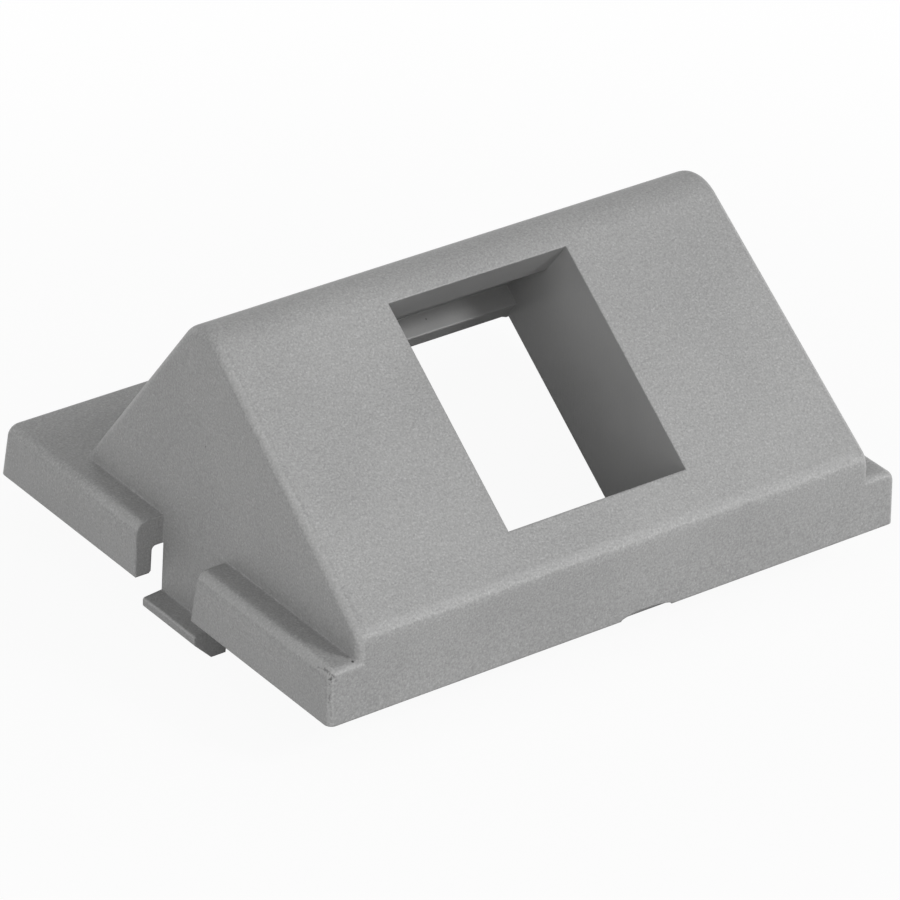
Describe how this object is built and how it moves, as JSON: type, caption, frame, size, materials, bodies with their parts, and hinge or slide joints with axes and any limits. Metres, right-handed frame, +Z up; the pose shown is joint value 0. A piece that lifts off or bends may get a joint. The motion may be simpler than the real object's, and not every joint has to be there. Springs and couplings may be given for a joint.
{
  "type": "keystone insert",
  "caption": "Angled snap-in insert: a flanged wedge hood whose slope holds a keystone jack in a wiring outlet frame.",
  "frame": {"origin": "middle of the flange without the lean of its back face, in the plane of its lower rim, which seats on the outlet frame", "axes": "+X along the ridge, +Y from the vertical front face to the back, +Z up, away from the frame"},
  "size_m": [0.0468, 0.0393, 0.0231],
  "materials": {
    "grey_plastic": "fine spark-eroded grain"
  },
  "bodies": {
    "root": {"keystone_insert": "grey_plastic"}
  },
  "joints": []
}
